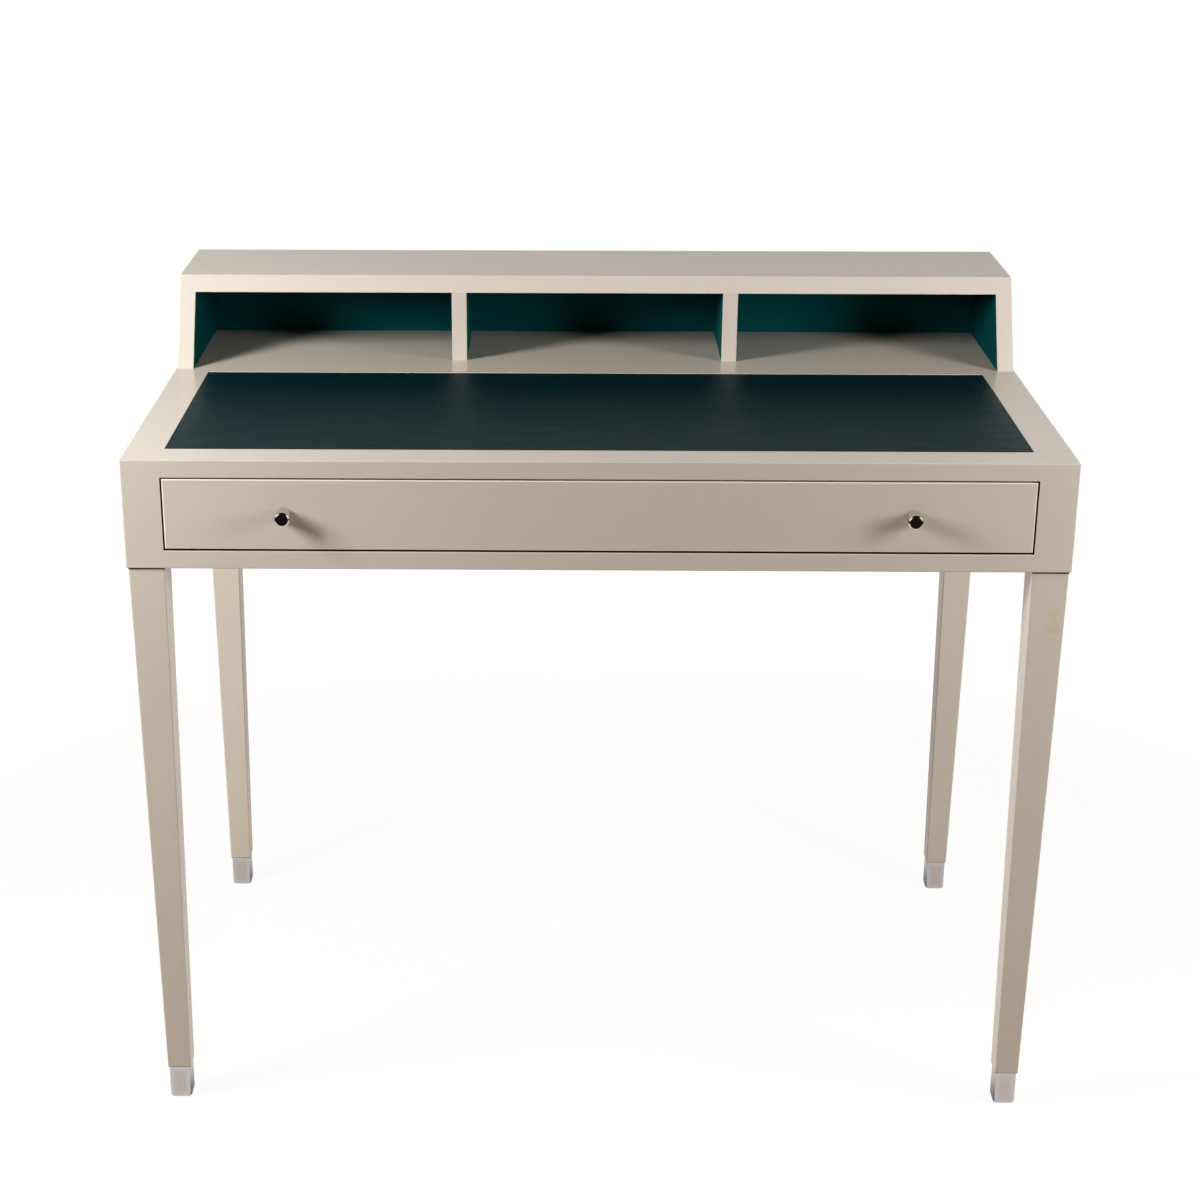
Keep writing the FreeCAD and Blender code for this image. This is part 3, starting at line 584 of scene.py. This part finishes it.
def copy_piece(piece, name, shift):
    """A copy of a piece with its own mesh, moved to its place."""
    bpy.ops.object.select_all(action="DESELECT")
    piece.select_set(True)
    bpy.context.view_layer.objects.active = piece
    bpy.ops.object.duplicate()
    made = bpy.context.active_object
    made.name = name
    made.data.name = name
    made.location = shift
    bpy.ops.object.transform_apply(location=True, rotation=True, scale=True)
    return made


def fit_piece(piece, material, body, node):
    """Gives a modelled piece its finish and its body, in place of the frame's node."""
    piece.data.materials.clear()
    piece.data.materials.append(material)
    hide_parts(node)
    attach(piece, body)


def apply_modifier(piece, kind, **settings):
    """Adds a modifier to a piece and applies it."""
    modifier = piece.modifiers.new(kind.lower(), kind)
    for name, setting in settings.items():
        setattr(modifier, name, setting)
    bpy.context.view_layer.objects.active = piece
    bpy.ops.object.modifier_apply(modifier=modifier.name)


class DESK_OT_lacquer(bpy.types.Operator):
    """Lacquer the case, the legs and the gallery."""
    bl_idname = "desk.lacquer"
    bl_label = "Lacquer"

    def execute(self, context):
        finishes = context.scene.desk_finishes
        paint(case_lacquer(finishes), *CASE_NODES)
        paint(drawer_lacquer(finishes), "drawer_front")
        paint(leg_lacquer(finishes), *(f"leg_{corner}" for corner in CORNERS))
        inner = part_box("gallery_side_right")[0].x + HAIR
        sides = two_tone_lacquer(finishes, "gallery_side", lambda tree: abs(tree.axis("X")) < inner)
        paint(sides, *(f"gallery_side_{side}" for side in SIDES))
        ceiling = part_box("gallery_top")[0].z + HAIR
        top = two_tone_lacquer(finishes, "gallery_top", lambda tree: tree.axis("Z") < ceiling)
        paint(top, "gallery_top")
        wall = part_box("gallery_back")[0].y + HAIR
        back = two_tone_lacquer(finishes, "gallery_back", lambda tree: tree.axis("Y") < wall)
        paint(back, "gallery_back")
        low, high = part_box("divider_right")
        middle = (low.x + high.x) / 2
        half = (high.x - low.x) / 2 - HAIR
        dividers = two_tone_lacquer(
            finishes, "divider", lambda tree: abs(abs(tree.axis("X")) - middle) > half)
        paint(dividers, *(f"divider_{side}" for side in SIDES))
        return {"FINISHED"}


class DESK_OT_leather(bpy.types.Operator):
    """Lay the leather in the recess of the desk top."""
    bl_idname = "desk.leather"
    bl_label = "Leather"

    def execute(self, context):
        sizes = context.scene.desk_sizes
        low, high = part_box("writing_leather")
        width, length = high.x - low.x, high.y - low.y
        crest = high.z - sizes.leather_wave
        middle = ((low.x + high.x) / 2, (low.y + high.y) / 2, crest)
        sheet = start_piece(
            "leather_sheet", bpy.ops.mesh.primitive_plane_add, (width, length, 1.0), middle, size=1.0)
        bpy.ops.mesh.select_all(action="SELECT")
        bpy.ops.mesh.subdivide(number_cuts=LEATHER_CUTS)
        bpy.ops.mesh.select_all(action="SELECT")
        bpy.ops.mesh.normals_make_consistent(inside=False)
        bpy.ops.object.mode_set(mode="OBJECT")
        waves = bpy.data.textures.new("hide_waves", "CLOUDS")
        waves.noise_scale = HIDE_WAVE_LENGTH
        apply_modifier(
            sheet, "DISPLACE", texture=waves, texture_coords="LOCAL", strength=sizes.leather_wave,
            direction="Z", mid_level=0.5)
        apply_modifier(sheet, "SOLIDIFY", thickness=sizes.leather_thickness, offset=-1.0)
        apply_modifier(sheet, "BEVEL", width=sizes.leather_edge, segments=3, limit_method="ANGLE")
        bpy.ops.object.shade_smooth_by_angle(angle=SMOOTH_ANGLE)
        fit_piece(sheet, leather(context.scene.desk_finishes), "case", "writing_leather")
        return {"FINISHED"}


def turned_knob(name, node, sizes):
    """Round bar along Y with a bevelled face, its edges softened by polishing."""
    low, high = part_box(node)
    radius = (high.x - low.x) / 2
    seat = ((low.x + high.x) / 2, high.y, (low.z + high.z) / 2)
    face_y = low.y
    shoulder_y = face_y + sizes.knob_bevel_depth
    knob = start_piece(
        name, bpy.ops.mesh.primitive_circle_add, EVEN, seat,
        vertices=ROUND_SIDES, radius=radius, fill_type="NGON", rotation=(math.pi / 2, 0.0, 0.0))
    bpy.ops.mesh.select_all(action="SELECT")
    extrude(0.0, shoulder_y - high.y, 0.0)
    extrude(0.0, face_y - shoulder_y, 0.0)
    narrowed = (radius - sizes.knob_bevel_width) / radius
    bpy.ops.transform.resize(
        value=(narrowed, 1.0, narrowed), center_override=(seat[0], face_y, seat[2]))
    rims = (face_y, shoulder_y)
    select(knob, "EDGE", lambda middle, edge: any(
        all(abs(vertex.co.y - rim) < TOUCH for vertex in edge.verts) for rim in rims))
    bpy.ops.mesh.bevel(offset=sizes.knob_polish, segments=4, affect="EDGES")
    select(knob, "FACE", lambda middle, face: (
        abs(middle.y - face_y) < TOUCH and len(face.verts) == ROUND_SIDES))
    bpy.ops.mesh.inset(thickness=KNOB_RIM_SHARE * radius)
    close_piece()
    return knob


def metal_shoe(name, node, sizes):
    """Square shoe with rounded corners and a pocket for the leg's tenon."""
    low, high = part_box(node)
    size = high - low
    middle = (low + high) / 2
    shoe = start_piece(name, bpy.ops.mesh.primitive_cube_add, size, middle, size=1.0)
    select(shoe, "EDGE", lambda centre, edge: centre.z < high.z - TOUCH)
    bpy.ops.mesh.bevel(offset=sizes.ferrule_radius, segments=8, affect="EDGES")
    select(shoe, "FACE", lambda centre, face: centre.z > high.z - TOUCH)
    bpy.ops.mesh.inset(thickness=sizes.ferrule_wall)
    depth = size.z - sizes.ferrule_base
    extrude(0.0, 0.0, -depth)
    close_piece()
    return shoe


class DESK_OT_knobs(bpy.types.Operator):
    """Turn the two drawer knobs."""
    bl_idname = "desk.knobs"
    bl_label = "Knobs"

    def execute(self, context):
        nickel = tuple(context.scene.desk_finishes.nickel)
        polish = metal("polished_nickel", nickel, roughness=0.03, spread=0.04)
        left = turned_knob("turned_knob_left", "knob_left", context.scene.desk_sizes)
        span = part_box("knob_right")[0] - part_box("knob_left")[0]
        knobs = {"left": left, "right": copy_piece(left, "turned_knob_right", span)}
        for side, knob in knobs.items():
            fit_piece(knob, polish, "drawer", f"knob_{side}")
        return {"FINISHED"}


class DESK_OT_ferrules(bpy.types.Operator):
    """Form the four ferrules of the legs."""
    bl_idname = "desk.ferrules"
    bl_label = "Ferrules"

    def execute(self, context):
        finish = satin_nickel(context.scene.desk_finishes)
        first = CORNERS[0]
        shoes = {first: metal_shoe(f"shoe_{first}", f"ferrule_{first}", context.scene.desk_sizes)}
        for corner in CORNERS[1:]:
            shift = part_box(f"ferrule_{corner}")[0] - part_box(f"ferrule_{first}")[0]
            shoes[corner] = copy_piece(shoes[first], f"shoe_{corner}", shift)
        for corner, shoe in shoes.items():
            fit_piece(shoe, finish, "case", f"ferrule_{corner}")
        return {"FINISHED"}


class DESK_OT_hardware(bpy.types.Operator):
    """Finish the runners, their ball strips and the fasteners."""
    bl_idname = "desk.hardware"
    bl_label = "Hardware"

    def execute(self, context):
        finishes = context.scene.desk_finishes
        drawn = (1.0, 0.05, 1.0)
        zinc = metal("zinc_steel", tuple(finishes.steel), roughness=0.26, spread=0.2, grain=drawn)
        paint(zinc, *STEEL_NODES)
        paint(nylon(finishes), *(f"ball_strips_{side}" for side in SIDES))
        return {"FINISHED"}


class DESK_OT_drawer_box(bpy.types.Operator):
    """Finish the drawer box and the hidden wooden pieces."""
    bl_idname = "desk.drawer_box"
    bl_label = "Drawer box"

    def execute(self, context):
        finishes = context.scene.desk_finishes
        along, across = 8.0, 180.0
        paint(beech(finishes, "beech_along_x", (along, across, across)), *BEECH_ALONG_X)
        paint(beech(finishes, "beech_along_y", (across, along, across)), *BEECH_ALONG_Y)
        paint(beech(finishes, "beech_sheet", (along, across / 2, across)), "drawer_bottom")
        return {"FINISHED"}


def add_lamp(name, place, power, colour, width, height):
    """Soft box that looks at the middle of the case and that gloss doesn't show."""
    lamp = bpy.data.lights.new(name, "AREA")
    lamp.shape = "RECTANGLE"
    lamp.size = width
    lamp.size_y = height
    lamp.energy = power
    lamp.color = colour
    shown = bpy.data.objects.new(name, lamp)
    bpy.context.scene.collection.objects.link(shown)
    shown.location = place
    shown.visible_glossy = False
    shown.rotation_euler = (Vector(LAMP_AIM) - Vector(place)).to_track_quat("-Z", "Y").to_euler()


def floor_paper(studio):
    """Pale paper that the camera sees as white, with the desk's faint shadow, and not at all from below."""
    tree = new_tree("pale_floor")
    in_gloss = FLOOR_IN_GLOSS * tree.ray("Glossy", "Transmission")
    seen = tree.math("MAXIMUM", tree.ray("Camera"), in_gloss)
    reach = tree.measure("LENGTH", tree.node("ShaderNodeTexCoord", output="Object"))
    edge = tree.step(reach, *FLOOR_FADE)
    paper = tree.tint(tuple(studio.floor_paper), 1.0 - FLOOR_HIDDEN * seen, low=grey(0.0), high=WHITE)
    lit = tree.node("ShaderNodeBsdfDiffuse", None, {"Color": paper})
    white = seen * (FLOOR_GLOW + (1.0 - FLOOR_GLOW) * edge)
    glow = tree.node("ShaderNodeEmission", None, {"Color": WHITE, "Strength": white})
    top = tree.node("ShaderNodeAddShader", None, {0: lit, 1: glow})
    below = tree.node("ShaderNodeBsdfTransparent")
    under = tree.node("ShaderNodeNewGeometry", output="Backfacing")
    return tree.end(tree.node("ShaderNodeMixShader", None, {0: under, 1: top, 2: below}))


def add_floor(studio):
    floor = start_piece(
        "floor", bpy.ops.mesh.primitive_circle_add, EVEN, (0.0, 0.0, -FLOOR_DROP),
        vertices=ROUND_SIDES, radius=studio.floor_radius, fill_type="NGON")
    bpy.ops.object.mode_set(mode="OBJECT")
    floor.data.materials.append(floor_paper(studio))


def add_world(studio):
    """A dim room with a lit wall behind the desk and, for gloss, two soft boxes. The camera sees white."""
    world = bpy.data.worlds.new("studio")
    bpy.context.scene.world = world
    tree = NodeTree(world)
    direction = tree.node("ShaderNodeTexCoord", output="Generated")
    backward = tree.node("ShaderNodeSeparateXYZ", None, {0: direction}, "Y")
    upward = tree.node("ShaderNodeSeparateXYZ", None, {0: direction}, "Z")
    wall = tree.step(backward, *WALL_BEHIND) * (1.0 - tree.step(upward, *WALL_TOP))
    dim = tree.tint(
        tuple(studio.ambient), tree.step(upward, *OVERHEAD),
        low=grey(AMBIENT_LOW), high=grey(AMBIENT_OVERHEAD))
    room = tree.mix(wall, dim, tuple(studio.backdrop))
    mirrored = tree.mix(wall, tuple(studio.mirrored_room), tuple(studio.mirrored_wall))
    for place in (studio.left_lamp_place, studio.right_lamp_place):
        toward = (Vector(place) - Vector(LAMP_AIM)).normalized()
        facing = tree.measure("DOT_PRODUCT", direction, toward)
        mirrored = tree.mix(tree.step(facing, *SOFT_BOX), mirrored, WHITE)
    light = tree.mix(tree.ray("Glossy", "Transmission"), room, mirrored)
    shown = tree.mix(tree.ray("Camera"), light, WHITE)
    tree.end(tree.node("ShaderNodeBackground", None, {"Color": shown, "Strength": 1.0}))


def add_camera(studio):
    camera = bpy.data.objects.new("camera", bpy.data.cameras.new("camera"))
    bpy.context.scene.collection.objects.link(camera)
    camera.location = studio.camera_place
    camera.rotation_euler = (math.pi / 2 - studio.camera_pitch, 0.0, studio.camera_yaw)
    camera.data.lens = studio.camera_lens
    camera.data.sensor_width = SENSOR_WIDTH
    camera.data.shift_x = studio.camera_shift
    bpy.context.scene.camera = camera


class DESK_OT_stage(bpy.types.Operator):
    """Set up the pale floor, the lamps, the room and the camera."""
    bl_idname = "desk.stage"
    bl_label = "Stage"

    def execute(self, context):
        studio = context.scene.desk_studio
        add_floor(studio)
        add_world(studio)
        cool, warm = studio.lamp_colour, studio.front_lamp_colour
        wide, tall = studio.lamp_width, studio.tall_lamp_height
        across = Vector(studio.side_lamp_place) * Vector(MIRRORED_ACROSS)
        lamps = (
            ("left_lamp", studio.left_lamp_place, studio.left_lamp_power, cool, tall),
            ("right_lamp", studio.right_lamp_place, studio.right_lamp_power, cool, tall),
            ("side_lamp_right", studio.side_lamp_place, studio.side_lamp_power, cool, wide),
            ("side_lamp_left", across, studio.far_lamp_power, cool, wide),
            ("back_lamp", studio.back_lamp_place, studio.back_lamp_power, cool, wide),
            ("front_lamp", studio.front_lamp_place, studio.front_lamp_power, warm, wide),
        )
        for name, place, power, colour, height in lamps:
            add_lamp(name, place, power, colour, wide, height)
        add_camera(studio)
        context.scene.view_settings.view_transform = "Standard"
        return {"FINISHED"}


class DESK_PT_sidebar(bpy.types.Panel):
    """Lists the desk's operators in the sidebar."""
    bl_idname = "DESK_PT_sidebar"
    bl_label = "Writing desk"
    bl_space_type = "VIEW_3D"
    bl_region_type = "UI"
    bl_category = "Desk"

    def draw(self, context):
        for operator in OPERATORS:
            self.layout.operator(operator.bl_idname)


OPERATORS = (
    DESK_OT_lacquer, DESK_OT_leather, DESK_OT_knobs, DESK_OT_ferrules, DESK_OT_hardware, DESK_OT_drawer_box,
    DESK_OT_stage,
)
CLASSES = (DeskFinishes, DeskSizes, DeskStudio, *OPERATORS, DESK_PT_sidebar)


def register():
    for kind in CLASSES:
        bpy.utils.register_class(kind)
    bpy.types.Scene.desk_finishes = bpy.props.PointerProperty(type=DeskFinishes)
    bpy.types.Scene.desk_sizes = bpy.props.PointerProperty(type=DeskSizes)
    bpy.types.Scene.desk_studio = bpy.props.PointerProperty(type=DeskStudio)


def unregister():
    del bpy.types.Scene.desk_studio
    del bpy.types.Scene.desk_sizes
    del bpy.types.Scene.desk_finishes
    for kind in reversed(CLASSES):
        bpy.utils.unregister_class(kind)


def main():
    register()
    bpy.ops.desk.lacquer()
    bpy.ops.desk.leather()
    bpy.ops.desk.knobs()
    bpy.ops.desk.ferrules()
    bpy.ops.desk.hardware()
    bpy.ops.desk.drawer_box()
    bpy.ops.desk.stage()


if __name__ == "__main__":
    main()
